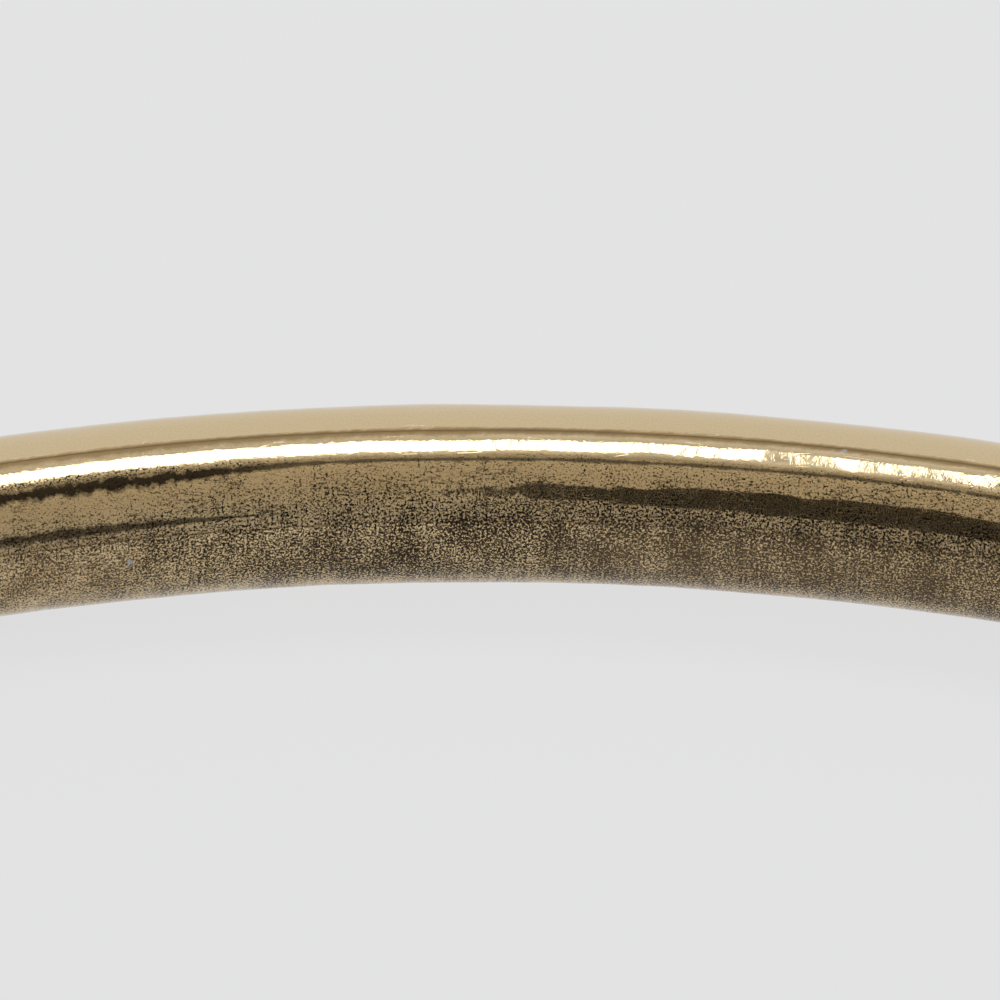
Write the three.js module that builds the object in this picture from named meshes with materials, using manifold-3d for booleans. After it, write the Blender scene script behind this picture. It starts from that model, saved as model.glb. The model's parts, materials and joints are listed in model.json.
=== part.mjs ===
// A slender hinged bangle bracelet: two hollow half rings of gold-coloured metal, a barrel
// hinge on one side and a box clasp with a folded spring tongue on the other.
// Millimetres. The ring lies flat: its axis is +Z, its middle is over the origin and its
// underside is at z = 0. The hinge is at -X, the clasp at +X, the back half at +Y.
import * as THREE from "three";
import { mergeVertices } from "three/addons/utils/BufferGeometryUtils.js";
import Module from "manifold-3d";

const wasm = await Module();
wasm.setup();

// ---- Driving dimensions ----
const innerDiameter = 60; // across the wrist opening
const tubeDepth = 2.4; // section, from the wrist side to the outside
const tubeHeight = 2.4; // section, along the ring's axis
const sideFlat = 0.2; // width of the narrow flats on the two sides of the section
const wall = 0.3; // sheet that the half tubes are pressed from
const seamGap = 0.02; // solder line between outer and inner half tube
const seamShift = 0.07; // how far the seam lies to the wrist side of the tube's middle
const endGap = 0.08; // line between the two half rings when closed
const fit = 0.02; // gap round a piece that is soldered or pressed in place

const knuckleRadius = 0.8;
const knuckleBevel = 0.1; // broken edge at each end of a knuckle
const knuckleGap = 0.03; // running gap between neighbouring knuckles
const scoopGap = 0.04; // gap between a knuckle and the scoop it turns in
const pinRadius = 0.35;
const pinRunning = 0.02; // radial clearance of the pin in its knuckles
const pinInset = 0.04; // how far each riveted end of the pin is sunk
const pinBevel = 0.08;
const hardwareProud = 0.35; // how far the hinge and the thumb tab stand out of the ring
const plugLength = 1.6; // solid plug in each hinge end and in the tongue's end

const tongueWidth = 1.0; // along the ring's axis
const tongueReach = 4.25; // from the clasp line to the tongue's tip
const baseLeafInset = 0.7; // from the wrist side of the tube to the fixed leaf
const baseLeafThickness = 0.25;
const baseLeafRoot = 0.65; // how deep the fixed leaf is let into its plug
const foldHeight = 0.53; // the folded tip, across the tube
const foldLength = 0.3; // the folded tip, along the tongue
const leafThickness = 0.22;
const leafStartGap = 0.05; // between the folded tip and the moving leaf
const leafRise = 0.44; // how far the moving leaf climbs between the fold and its shoulder
const neckWidth = 0.5; // behind the shoulder the moving leaf narrows to this
const tabLength = 0.54; // thumb tab, along the ring
const tabSetback = 0.16; // from the clasp line to the tab

const lipThickness = 0.56; // mouth plate that the tongue's shoulder locks behind
const shoulderPlay = 0.06; // between the lip and the shoulder
const lipBite = 0.2; // how much of the shoulder the lip holds
const windowPlay = 0.07; // round the tongue in the mouth plate
const notchPlay = 0.08; // each side of the neck and tab in the notch
const notchRun = 0.25; // behind the tab, for its travel

// ---- Fineness of the faceted model ----
const ringStations = 36; // steps along each half ring
const sectionSteps = 6; // steps along each curved side of the section
const roundSides = 24; // sides of the knuckles and the pin
const scoopSides = 48;

// ---- Worked out from the sizes above ----
const ringRadius = innerDiameter / 2 + tubeDepth / 2; // middle of the tube
const outerRadius = innerDiameter / 2 + tubeDepth;
const middleZ = tubeHeight / 2;
const hingeX = -(outerRadius + hardwareProud - knuckleRadius);
const endAngle = endGap / 2 / ringRadius;
const tabTopX = outerRadius + hardwareProud;

const polished = { color: 0xc4b28a, roughness: 0.18, metalness: 1 };
const tarnished = { color: 0x8c7a58, roughness: 0.42, metalness: 1 };
const fittings = { color: 0xb59c68, roughness: 0.28, metalness: 1 };
const spring = { color: 0xb8a67c, roughness: 0.25, metalness: 1 };
const steel = { color: 0x9a9184, roughness: 0.3, metalness: 1 };

// ---- Solids ----
function toSolid(geometry) {
  const bare = geometry.clone();
  bare.deleteAttribute("normal");
  bare.deleteAttribute("uv");
  const merged = mergeVertices(bare, 1e-5);
  return new wasm.Manifold(
    new wasm.Mesh({
      numProp: 3,
      vertProperties: merged.attributes.position.array,
      triVerts: new Uint32Array(merged.index.array),
    }),
  );
}

function toMesh(name, solid, look) {
  const { numProp, numVert, vertProperties, triVerts } = solid.getMesh();
  const places = new Float32Array(numVert * 3);
  for (let i = 0; i < numVert; i++) {
    places.set(vertProperties.subarray(i * numProp, i * numProp + 3), i * 3);
  }
  const geometry = new THREE.BufferGeometry();
  geometry.setAttribute("position", new THREE.BufferAttribute(places, 3));
  geometry.setIndex(new THREE.BufferAttribute(new Uint32Array(triVerts), 1));
  geometry.computeVertexNormals();
  const mesh = new THREE.Mesh(geometry, new THREE.MeshStandardMaterial(look));
  mesh.name = name;
  return mesh;
}

function subtractAll(solid, cutters) {
  return cutters.reduce((left, cutter) => left.subtract(cutter), solid);
}

// The line down the middle of one half ring, from the clasp end round to the hinge end.
class HalfRing extends THREE.Curve {
  constructor(side) {
    super();
    this.side = side; // 1 for the back half at +Y, -1 for the front half at -Y
  }
  angle(t) {
    return this.side * (endAngle + t * (Math.PI - 2 * endAngle));
  }
  getPoint(t, target = new THREE.Vector3()) {
    const a = this.angle(t);
    return target.set(ringRadius * Math.cos(a), ringRadius * Math.sin(a), middleZ);
  }
  getTangent(t, target = new THREE.Vector3()) {
    const a = this.angle(t);
    return target.set(-this.side * Math.sin(a), this.side * Math.cos(a), 0);
  }
}

// Sweeps a section along a half ring. Section points are [out, up]: out from the middle of
// the tube away from the wrist, and up along the ring's axis. The extrusion's own X points
// down, and its Y towards the wrist on the back half and away from it on the front half.
function sweep(section, side) {
  const points = section.map(([out, up]) => new THREE.Vector2(-up, -side * out));
  return toSolid(
    new THREE.ExtrudeGeometry(new THREE.Shape(points), {
      steps: ringStations,
      extrudePath: new HalfRing(side),
    }),
  );
}

// One curved side of the section, from its upper flat to its lower one. inset moves it
// inwards all round; facing is 1 for the outside and -1 for the wrist side.
function curvedSide(facing, inset) {
  const reach = tubeDepth / 2 - sideFlat / 2 - inset;
  const climb = tubeHeight / 2 - inset;
  const points = [];
  for (let i = 0; i <= sectionSteps; i++) {
    const a = Math.PI / 2 - (i / sectionSteps) * Math.PI;
    points.push([facing * (sideFlat / 2 + reach * Math.cos(a)), climb * Math.sin(a)]);
  }
  return points;
}

// A pressed half tube, with a wall of even thickness and its two edges at the seam.
function halfTube(facing, side) {
  const edge = (facing * seamGap) / 2 - seamShift;
  const top = tubeHeight / 2;
  const under = top - wall;
  return sweep(
    [
      [edge, top],
      ...curvedSide(facing, 0),
      [edge, -top],
      [edge, -under],
      ...curvedSide(facing, wall).reverse(),
      [edge, under],
    ],
    side,
  );
}

// What fills the inside of the tube with a soldering gap, all along one half ring.
function filledBore(side) {
  const inset = wall + fit;
  return sweep([...curvedSide(1, inset), ...curvedSide(-1, inset).reverse()], side);
}

function block(x, y, z) {
  const size = [x, y, z].map(([low, high]) => high - low);
  const geometry = new THREE.BoxGeometry(...size);
  geometry.translate(...[x, y, z].map(([low, high]) => (low + high) / 2));
  return toSolid(geometry);
}

// An outline in X and Y, extruded to a width centred on the tube's middle height.
function strip(outline, width) {
  const shape = new THREE.Shape(outline.map(([x, y]) => new THREE.Vector2(x, y)));
  const geometry = new THREE.ExtrudeGeometry(shape, { depth: width, bevelEnabled: false });
  geometry.translate(0, 0, middleZ - width / 2);
  return toSolid(geometry);
}

// A turned piece on the hinge's axis: its profile is [radius, height] pairs.
function turned(profile, sides) {
  const geometry = new THREE.LatheGeometry(
    profile.map(([radius, height]) => new THREE.Vector2(radius, height)),
    sides,
  );
  geometry.rotateX(Math.PI / 2);
  geometry.translate(hingeX, 0, 0);
  return toSolid(geometry);
}

const acrossTube = [innerDiameter / 2 - 1, outerRadius + 1];
const wholeHeight = [-1, tubeHeight + 1];

// ---- Hinge ----
const knuckleHeight = (tubeHeight - 2 * knuckleGap) / 3;

function knuckle(place) {
  const low = place * (knuckleHeight + knuckleGap);
  const high = low + knuckleHeight;
  const bore = pinRadius + pinRunning;
  return turned(
    [
      [bore, low],
      [knuckleRadius - knuckleBevel, low],
      [knuckleRadius, low + knuckleBevel],
      [knuckleRadius, high - knuckleBevel],
      [knuckleRadius - knuckleBevel, high],
      [bore, high],
      [bore, low],
    ],
    roundSides,
  );
}

function hingePin() {
  const low = pinInset;
  const high = tubeHeight - pinInset;
  return turned(
    [
      [0, low],
      [pinRadius - pinBevel, low],
      [pinRadius, low + pinBevel],
      [pinRadius, high - pinBevel],
      [pinRadius - pinBevel, high],
      [0, high],
    ],
    roundSides,
  );
}

// The round hollow that both hinge ends leave for the knuckles.
function hingeScoop() {
  const radius = knuckleRadius + scoopGap;
  const [low, high] = wholeHeight;
  return turned(
    [
      [0, low],
      [radius, low],
      [radius, high],
      [0, high],
    ],
    scoopSides,
  );
}

function hingePlug(side) {
  const reach = [0, side * plugLength].sort((a, b) => a - b);
  const nearHinge = block([-outerRadius - 1, 0], reach, wholeHeight);
  return filledBore(side).intersect(nearHinge).subtract(hingeScoop());
}

// ---- Clasp: places along X (out from the wrist) and Y (the tongue points to -Y) ----
const baseLeafX = [
  innerDiameter / 2 + baseLeafInset,
  innerDiameter / 2 + baseLeafInset + baseLeafThickness,
];
const tipY = -tongueReach;
const foldY = tipY + foldLength;
const leafStartY = foldY + leafStartGap;
const lipY = -endGap / 2 - lipThickness;
const shoulderY = lipY - shoulderPlay;
const neckEndY = -endGap / 2 - tabSetback / 2;
const tabY = [-tabSetback - tabLength, -tabSetback];
const foldTopX = baseLeafX[0] + foldHeight;
const leafStartX = foldTopX - leafThickness / 2 - fit; // middle of the moving leaf
const shoulderX = leafStartX + leafRise;
const shoulderTopX = shoulderX + leafThickness / 2;
const leafSlope = leafRise / (shoulderY - leafStartY);
const windowX = [baseLeafX[0] - windowPlay, shoulderTopX - lipBite];
const notchHalf = neckWidth / 2 + notchPlay;

function leafX(y) {
  return leafStartX + leafSlope * (y - leafStartY);
}

// A stretch of the moving leaf between two places along the tongue.
function leafStretch(fromY, toY, width) {
  const half = leafThickness / 2;
  const outline = [
    [leafX(fromY) - half, fromY],
    [leafX(fromY) + half, fromY],
    [leafX(toY) + half, toY],
    [leafX(toY) - half, toY],
  ];
  return strip(outline, width);
}

function tongueBase() {
  const [inside, outside] = baseLeafX;
  const outline = [
    [inside, tipY + foldLength / 3],
    [inside + foldLength / 3, tipY],
    [foldTopX - foldLength / 3, tipY],
    [foldTopX, tipY + foldLength / 3],
    [foldTopX, foldY],
    [outside, foldY],
    [outside, baseLeafRoot],
    [inside, baseLeafRoot],
  ];
  return strip(outline, tongueWidth);
}

function springLeaf() {
  const leaf = leafStretch(leafStartY, shoulderY, tongueWidth);
  return leaf.add(leafStretch(shoulderY - leafThickness, neckEndY, neckWidth));
}

// The blade that a thumb presses, with a rounded crown and a foot that follows the leaf.
function thumbTab() {
  const [low, high] = tabY;
  const crown = tabLength / 4;
  const foot = leafThickness / 2 + fit;
  const outline = [
    [leafX(low) + foot, low],
    [tabTopX - crown, low],
    [tabTopX - crown / 4, low + crown / 3],
    [tabTopX, low + crown],
    [tabTopX, high - crown],
    [tabTopX - crown / 4, high - crown / 3],
    [tabTopX - crown, high],
    [leafX(high) + foot, high],
  ];
  return strip(outline, neckWidth);
}

// The opening that the neck and the tab pass through, open towards the back half.
function tabNotch() {
  const y = [tabY[0] - notchRun, 1];
  return block([windowX[1] - fit, outerRadius + 1], y, [middleZ - notchHalf, middleZ + notchHalf]);
}

function mouthPlate() {
  const half = tongueWidth / 2 + windowPlay;
  const window = block(windowX, [-1 - lipThickness, 1], [middleZ - half, middleZ + half]);
  const plate = filledBore(-1).intersect(block(acrossTube, [lipY, 1], wholeHeight));
  return subtractAll(plate, [window, tabNotch()]);
}

function claspPlug() {
  const half = tongueWidth / 2 + fit;
  const slotX = [baseLeafX[0] - fit, baseLeafX[1] + fit];
  const slot = block(slotX, [-1, baseLeafRoot + fit], [middleZ - half, middleZ + half]);
  return filledBore(1)
    .intersect(block(acrossTube, [0, plugLength], wholeHeight))
    .subtract(slot);
}

// ---- Assembly ----
const bangle = new THREE.Group();
const backHalf = new THREE.Group();
const frontHalf = new THREE.Group();
const claspLeaf = new THREE.Group();
bangle.add(backHalf, frontHalf, claspLeaf);

const scoop = hingeScoop();
backHalf.add(
  toMesh("back_outer_shell", halfTube(1, 1).subtract(scoop), polished),
  toMesh("back_inner_shell", halfTube(-1, 1).subtract(scoop), tarnished),
  toMesh("back_hinge_plug", hingePlug(1), fittings),
  toMesh("back_knuckle_middle", knuckle(1), fittings),
  toMesh("back_clasp_plug", claspPlug(), fittings),
  toMesh("tongue_base_leaf", tongueBase(), spring),
);
frontHalf.add(
  toMesh("front_outer_shell", subtractAll(halfTube(1, -1), [scoop, tabNotch()]), polished),
  toMesh("front_inner_shell", halfTube(-1, -1).subtract(scoop), tarnished),
  toMesh("front_hinge_plug", hingePlug(-1), fittings),
  toMesh("front_knuckle_lower", knuckle(0), fittings),
  toMesh("front_knuckle_upper", knuckle(2), fittings),
  toMesh("hinge_pin", hingePin(), steel),
  toMesh("front_mouth_plate", mouthPlate(), fittings),
);
claspLeaf.add(
  toMesh("tongue_spring_leaf", springLeaf(), spring),
  toMesh("thumb_tab", thumbTab(), fittings),
);

export default bangle;
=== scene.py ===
# %% [markdown]
# # A slender hinged bangle
#
# The bangle is a ring of hollow, nearly round tube, 64.8 mm across outside, in two half
# rings. Each half is pressed from two long strips of gold-coloured sheet, an outer one
# and an inner one, soldered along a seam on each side of the tube. A small barrel hinge
# joins the halves at -X, and a folded spring tongue locks them at +X.
#
# The CAD model gives the sizes. Here each piece gets its fine shape and its finish. The
# outside is worn smooth and bright. The wrist side has lost its polish: it is covered
# with fine dark specks where the gold layer is worn through and has tarnished.

# %% Load the frame
import json
import math
from types import SimpleNamespace

import bmesh
import bpy
import numpy as np
from mathutils import Matrix, Vector


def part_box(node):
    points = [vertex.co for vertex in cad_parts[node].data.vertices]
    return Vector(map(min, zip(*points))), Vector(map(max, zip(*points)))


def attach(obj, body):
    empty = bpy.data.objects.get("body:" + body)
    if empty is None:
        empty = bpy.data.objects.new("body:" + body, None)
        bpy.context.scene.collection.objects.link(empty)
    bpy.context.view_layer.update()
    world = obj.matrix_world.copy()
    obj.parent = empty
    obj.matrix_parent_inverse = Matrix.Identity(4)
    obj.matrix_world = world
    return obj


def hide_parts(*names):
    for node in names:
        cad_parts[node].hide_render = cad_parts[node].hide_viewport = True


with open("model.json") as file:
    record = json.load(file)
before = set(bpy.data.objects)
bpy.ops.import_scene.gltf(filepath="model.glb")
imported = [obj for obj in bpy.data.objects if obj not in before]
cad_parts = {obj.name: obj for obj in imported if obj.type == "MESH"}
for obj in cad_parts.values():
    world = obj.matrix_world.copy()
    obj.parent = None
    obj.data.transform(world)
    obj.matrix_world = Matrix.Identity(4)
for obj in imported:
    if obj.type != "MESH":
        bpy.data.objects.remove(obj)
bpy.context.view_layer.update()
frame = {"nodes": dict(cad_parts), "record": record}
record = frame["record"]
bodies = {node: body for body, nodes in record["behaviour"]["bodies"].items() for node in nodes}

# %% [markdown]
# ## Sizes
#
# The ring's main sizes are measured on the CAD nodes, so they always agree with them. The
# small sizes of the tube's section can't be read off a node's box, so they are named
# here, and so are the roundings that are too fine for a working model.

# %% Measure the ring
MM = 0.001


def radii(node):
    places = np.array([v.co for v in frame["nodes"][node].data.vertices])
    return np.hypot(places[:, 0], places[:, 1])


outer_radius = float(radii("back_outer_shell").max())
inner_radius = float(radii("back_inner_shell").min())
tube_height = float(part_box("back_outer_shell")[1].z)
tube_depth = outer_radius - inner_radius
ring_radius = (outer_radius + inner_radius) / 2
middle_z = tube_height / 2
print("opening", round(2000 * inner_radius, 2), "tube", round(1000 * tube_depth, 2), "mm deep")

side_flat = 0.2 * MM  # the narrow flats on the two sides of the tube
wall = 0.3 * MM
seam_shift = 0.07 * MM  # the seam lies this far to the wrist side of the tube's middle
seam_gap = 0.002 * MM
seam_round = 0.005 * MM  # broken edge on each side of the seam
end_gap = 0.08 * MM
end_round = 0.04 * MM

# %% [markdown]
# ## Putting a piece in the frame
#
# Every piece is made where it belongs, so its object stays at the origin. Each one rides on the
# body of the CAD node that it replaces, which is hidden, and takes the material that it is given.


def new_object(name, data):
    made = bpy.data.objects.new(name, data)
    bpy.context.collection.objects.link(made)
    return made


def place_piece(name, mesh, material):
    piece = new_object(name + "_fine", mesh)
    mesh.materials.append(material)
    mesh.polygons.foreach_set("use_smooth", [True] * len(mesh.polygons))
    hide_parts(name)
    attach(piece, bodies[name])
    return piece


# %% [markdown]
# ## Node helpers
#
# Materials are easier to read as small sums. `Nodes` adds one node at a time and links
# whatever it is given: a socket is linked, a plain value is set. Its shorter methods are
# the sums that come back most: a smooth step, a mix of two colours, a noise, and parts
# added up by their shares.


# %% Node helper
class Nodes:
    def __init__(self, tree):
        self.tree = tree
        self.link = tree.links.new

    def add(self, kind, inputs=None, **settings):
        made = self.tree.nodes.new(kind)
        for key, value in settings.items():
            setattr(made, key, value)
        for key, value in (inputs or {}).items():
            if isinstance(value, bpy.types.NodeSocket):
                self.link(value, made.inputs[key])
            else:
                made.inputs[key].default_value = value
        return made

    def maths(self, operation, a, b=0.0):
        return self.add("ShaderNodeMath", {0: a, 1: b}, operation=operation).outputs[0]

    def plus(self, a, b):
        return self.maths("ADD", a, b)

    def minus(self, a, b):
        return self.maths("SUBTRACT", a, b)

    def times(self, a, b):
        return self.maths("MULTIPLY", a, b)

    def larger(self, a, b):
        return self.maths("MAXIMUM", a, b)

    def total(self, start, parts):
        """start plus each part times its share."""
        for part, share in parts:
            start = self.plus(start, self.times(part, share))
        return start

    def ridge(self, field):
        """How far a noise is from its middle value: zero along thin wandering lines."""
        return self.maths("ABSOLUTE", self.minus(field, 0.5))

    def step(self, value, low, high, start=0.0, end=1.0):
        """Rises smoothly from start to end while value goes from low to high."""
        inputs = {"Value": value, "From Min": low, "From Max": high}
        inputs.update({"To Min": start, "To Max": end})
        made = self.add("ShaderNodeMapRange", inputs, interpolation_type="SMOOTHSTEP")
        return made.outputs["Result"]

    def mix(self, share, a, b):
        made = self.add("ShaderNodeMix", {"Factor": share}, data_type="RGBA")
        for key, value in (("A", a), ("B", b)):
            socket = [s for s in made.inputs if s.name == key and s.type == "RGBA"][0]
            if isinstance(value, bpy.types.NodeSocket):
                self.link(value, socket)
            else:
                socket.default_value = (*value, 1.0)
        return [s for s in made.outputs if s.type == "RGBA"][0]

    def noise(self, place, scale, detail=2.0, roughness=0.5):
        inputs = {"Vector": place, "Scale": scale, "Detail": detail, "Roughness": roughness}
        return self.add("ShaderNodeTexNoise", inputs).outputs["Fac"]

    def stretched(self, place, along, around, turn=0.0, shift=0.0):
        inputs = {"Vector": place, "Location": (shift, shift, shift)}
        inputs.update({"Rotation": (0.0, 0.0, turn), "Scale": (along, around, 1.0)})
        return self.add("ShaderNodeMapping", inputs).outputs["Vector"]


def new_group(name, values, outputs=("Mask",)):
    """An empty node group that takes Place and these values, and what adds nodes to it."""
    tree = bpy.data.node_groups.new(name, "ShaderNodeTree")
    new_socket = tree.interface.new_socket
    new_socket(name="Place", in_out="INPUT", socket_type="NodeSocketVector")
    for key, default in values.items():
        socket = new_socket(name=key, in_out="INPUT", socket_type="NodeSocketFloat")
        socket.default_value = default
    for key in outputs:
        new_socket(name=key, in_out="OUTPUT", socket_type="NodeSocketFloat")
    nodes = Nodes(tree)
    return nodes, nodes.add("NodeGroupInput").outputs, nodes.add("NodeGroupOutput").inputs


def use_group(nodes, name, place, **values):
    group = bpy.data.node_groups[name]
    return nodes.add("ShaderNodeGroup", {"Place": place, **values}, node_tree=group).outputs


# %% [markdown]
# ## Tarnish specks
#
# Where a thin gold layer is worn through, the metal under it tarnishes in fine dark
# specks. Up close they are ragged blots 0.02 to 0.05 mm across, thicker in some patches
# than in others, with faint streaks across the tube where the sheet was drawn and rubbed.
# One noise gives the blots and a finer one their ragged edges. A coarse noise adds the
# patches and a stretched one the streaks, and a threshold turns the sum into specks.
# `Density` is about the share of the surface they cover. `Place` is in centimetres over
# the surface: X along the ring, Y around the tube.

# %% Tarnish specks group
blots_per_cm = 285.0
ragged_per_cm = 620.0
patches_per_cm = 17.0
speck_edge = 0.012  # a narrow threshold gives crisp specks, a wide one a haze


def make_specks_group():
    nodes, given, out = new_group(
        "tarnish_specks",
        {"Density": 0.5, "Patchiness": 0.5, "Streaks": 0.3},
        ("Mask", "Patches"),
    )
    place = given["Place"]
    patches = nodes.noise(place, patches_per_cm, 5.0, 0.62)
    streaks = nodes.noise(nodes.stretched(place, 110.0, 10.0), 1.0, 2.0, 0.6)
    parts = (
        (nodes.noise(place, blots_per_cm, 2.0, 0.6), 1.0),
        (nodes.noise(place, ragged_per_cm, 1.0, 0.6), 0.68),
        (patches, given["Patchiness"]),
        (streaks, given["Streaks"]),
        (given["Density"], 0.38),
    )
    level = nodes.total(0.0, [(nodes.minus(part, 0.5), share) for part, share in parts])
    nodes.link(nodes.step(level, -speck_edge, speck_edge), out["Mask"])
    nodes.link(patches, out["Patches"])


make_specks_group()
print("group tarnish_specks")

# %% [markdown]
# ## Rubbing marks
#
# A bangle is rubbed along its length by sleeves and across it by tables. Two sets of long
# thin lines do for that: each is a noise stretched far along one direction, and only its
# ridges, where it passes the middle value, count as scratches.


# %% Rubbing marks group
# each set is (turn, cells per cm along, cells per cm around, shift)
mark_sets = ((0.35, 4.0, 60.0, 3.1), (-0.6, 60.0, 5.0, 7.7))


def make_scratches_group():
    nodes, given, out = new_group("rubbing_marks", {"Fineness": 1.0, "Width": 0.012})
    masks = []
    for turn, along, around, shift in mark_sets:
        place = nodes.stretched(given["Place"], along, around, turn, shift)
        ridge = nodes.ridge(nodes.noise(place, given["Fineness"], 1.0, 0.4))
        line = nodes.step(nodes.maths("DIVIDE", ridge, given["Width"]), 0.0, 1.0, 1.0, 0.0)
        gate = nodes.step(nodes.noise(given["Place"], 14.0 + shift, 2.0), 0.5, 0.62)
        masks.append(nodes.times(line, gate))
    nodes.link(nodes.larger(*masks), out["Mask"])


make_scratches_group()
print("group rubbing_marks")

# %% [markdown]
# ## Crackle
#
# Here and there the worn skin has fine dark cracks, where the sheet was strained and
# dirt got in. Real cracks branch and stop, so three bent noises are used: the line where
# one crosses its middle value is a crack, and a coarse noise says where cracks occur.

# %% Crackle group
# each set of cracks is (turn, cells per cm, shift)
crack_sets = ((0.5, 18.0, 1.7), (-0.9, 26.0, 5.2), (1.4, 34.0, 9.6))


def make_crackle_group():
    nodes, given, out = new_group("crackle", {"Amount": 0.5})
    place = given["Place"]
    line = 0.0
    for turn, scale, shift in crack_sets:
        field = nodes.noise(nodes.stretched(place, 0.5, 1.3, turn, shift), scale, 4.0, 0.62)
        line = nodes.larger(line, nodes.step(nodes.ridge(field), 0.001, 0.008, 1.0, 0.0))
    where = nodes.plus(nodes.noise(place, 4.5, 3.0, 0.6), given["Amount"])
    gate = nodes.step(where, 1.02, 1.12)
    nodes.link(nodes.times(line, gate), out["Mask"])


make_crackle_group()
print("group crackle")

# %% [markdown]
# ## Grime and dark reflections in a line
#
# Dirt and old polish sit where a cloth can't reach: along the seam. The same ragged stripe also
# paints dark reflections: one along the crease where the polished edge meets the speckled inside,
# where it holds some grime too, and one further in. The group takes the distance around the tube
# from such a line and gives a ragged dark stripe of a chosen width.


# %% Grime and reflection line group
def make_grime_and_reflection_group():
    values = {"Around": 0.0, "Width": 0.003, "Raggedness": 0.5}
    nodes, given, out = new_group("grime_and_reflection_line", values)
    wander = nodes.noise(nodes.stretched(given["Place"], 48.0, 48.0), 1.0, 5.0, 0.74)
    wander = nodes.times(nodes.minus(wander, 0.5), given["Raggedness"])
    near = nodes.maths("DIVIDE", given["Around"], given["Width"])
    near = nodes.plus(nodes.maths("ABSOLUTE", near), wander)
    nodes.link(nodes.step(near, 0.35, 1.15, 1.0, 0.0), out["Mask"])


make_grime_and_reflection_group()
print("group grime_and_reflection_line")

# %% [markdown]
# ## Dust
#
# A few pale grey flecks of lint and dust lie on the metal. Cells of a Voronoi pattern are
# picked at random, and each picked cell shows a small soft dot.


# %% Dust group
def make_dust_group():
    nodes, given, out = new_group("dust", {"Amount": 0.04})
    cells = nodes.add(
        "ShaderNodeTexVoronoi", {"Vector": given["Place"], "Scale": 16.0}, feature="F1"
    ).outputs
    chance = nodes.add("ShaderNodeSeparateColor", {"Color": cells["Color"]}).outputs["Red"]
    picked = nodes.maths("LESS_THAN", chance, given["Amount"])
    frayed = nodes.times(nodes.noise(given["Place"], 150.0, 2.0), 0.12)
    dot = nodes.step(nodes.plus(cells["Distance"], frayed), 0.09, 0.17, 1.0, 0.0)
    nodes.link(nodes.times(dot, picked), out["Mask"])


make_dust_group()
print("group dust")

# %% [markdown]
# ## The gold finishes
#
# Both finishes of the tube are one recipe with other values. Bare gold of low carat is a
# pale, slightly green yellow; its tarnish is a near-black brown that no longer shines.
# Between them lies a thin olive film, which darkens the gold a little and makes it
# rougher. The masks choose between these three at each point.

# %% Colours of the gold and its tarnish
bare_gold = (0.74, 0.585, 0.355)
worn_gold = (0.68, 0.485, 0.24)
olive_film = (0.34, 0.245, 0.115)
copper_film = (0.50, 0.33, 0.17)
# This near-black is the oxide of the tarnish, and it also paints the dark reflections at the
# crease and further in.
oxide_and_reflection_black = (0.012, 0.008, 0.005)
brown_oxide = (0.082, 0.058, 0.035)
solder_brown = (0.25, 0.155, 0.055)
dust_grey = (0.42, 0.44, 0.46)
print("eight colours, from bare gold to dust")


# %% Start of a material
def start_material(name):
    material = bpy.data.materials.new(name)
    material.use_nodes = True
    material.node_tree.nodes.clear()
    nodes = Nodes(material.node_tree)
    shader = nodes.add("ShaderNodeBsdfPrincipled")
    output = nodes.add("ShaderNodeOutputMaterial")
    nodes.link(shader.outputs["BSDF"], output.inputs["Surface"])
    return material, nodes, shader.inputs


def wire(nodes, shader, colour, dust, roughness, height, strength, depth):
    """Links a finish to its shader. It is metal everywhere but under the dust."""
    nodes.link(colour, shader["Base Color"])
    nodes.link(nodes.step(dust, 0.0, 1.0, 1.0, 0.0), shader["Metallic"])
    nodes.link(roughness, shader["Roughness"])
    relief = {"Strength": strength, "Distance": depth, "Height": height}
    nodes.link(nodes.add("ShaderNodeBump", relief).outputs["Normal"], shader["Normal"])


def surface_place(nodes):
    """Place on a tube's skin in centimetres: the vector, the way along and the way around."""
    place = nodes.add("ShaderNodeUVMap", uv_map="skin").outputs["UV"]
    parts = nodes.add("ShaderNodeSeparateXYZ", {"Vector": place}).outputs
    return place, parts["X"], parts["Y"]


# %% [markdown]
# Wear follows the shape. The polish reaches in from each seam as far as a rim. Past the
# rim the gold is worn, and deep inside, where skin and sweat sit, specks cover it. So the
# zones are masks made from the distance to the nearest seam. A bangle also wears unevenly
# along its length: three more masks say how far a point lies toward the hinge, toward the
# clasp, or in the stretch that has kept the most gold. Every distance is in centimetres,
# like the UV map, and along the ring it counts from the middle of the half ring.

# %% Zones of wear on a tube
seam_sway = 0.006
worn_from, worn_full = -0.003, 0.002  # from the rim
deep_from, deep_full = 0.012, 0.103
hinge_from, hinge_full = 0.50, 1.0  # along the ring
clasp_from, clasp_full = -0.10, -0.32
kept_rise = (0.10, 0.40)
kept_fall = (1.0, 0.75)


def tube_zones(nodes, rim):
    place, along, around = surface_place(nodes)
    other_side = nodes.minus(skin_width / (10 * MM), around)
    sway = nodes.minus(nodes.noise(nodes.stretched(place, 1.4, 0.0), 1.0, 3.0), 0.5)
    from_seam = nodes.maths("MINIMUM", around, other_side)
    from_seam = nodes.plus(from_seam, nodes.times(sway, seam_sway))
    deep = nodes.step(from_seam, rim + deep_from, rim + deep_full)
    return SimpleNamespace(
        place=place,
        along=along,
        around=around,
        from_seam=from_seam,
        worn=nodes.step(from_seam, rim + worn_from, rim + worn_full),
        deep=deep,
        shallow=nodes.minus(1.0, deep),
        hingeward=nodes.step(along, hinge_from, hinge_full),
        claspward=nodes.step(along, clasp_from, clasp_full),
        kept=nodes.times(nodes.step(along, *kept_rise), nodes.step(along, *kept_fall)),
    )
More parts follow.
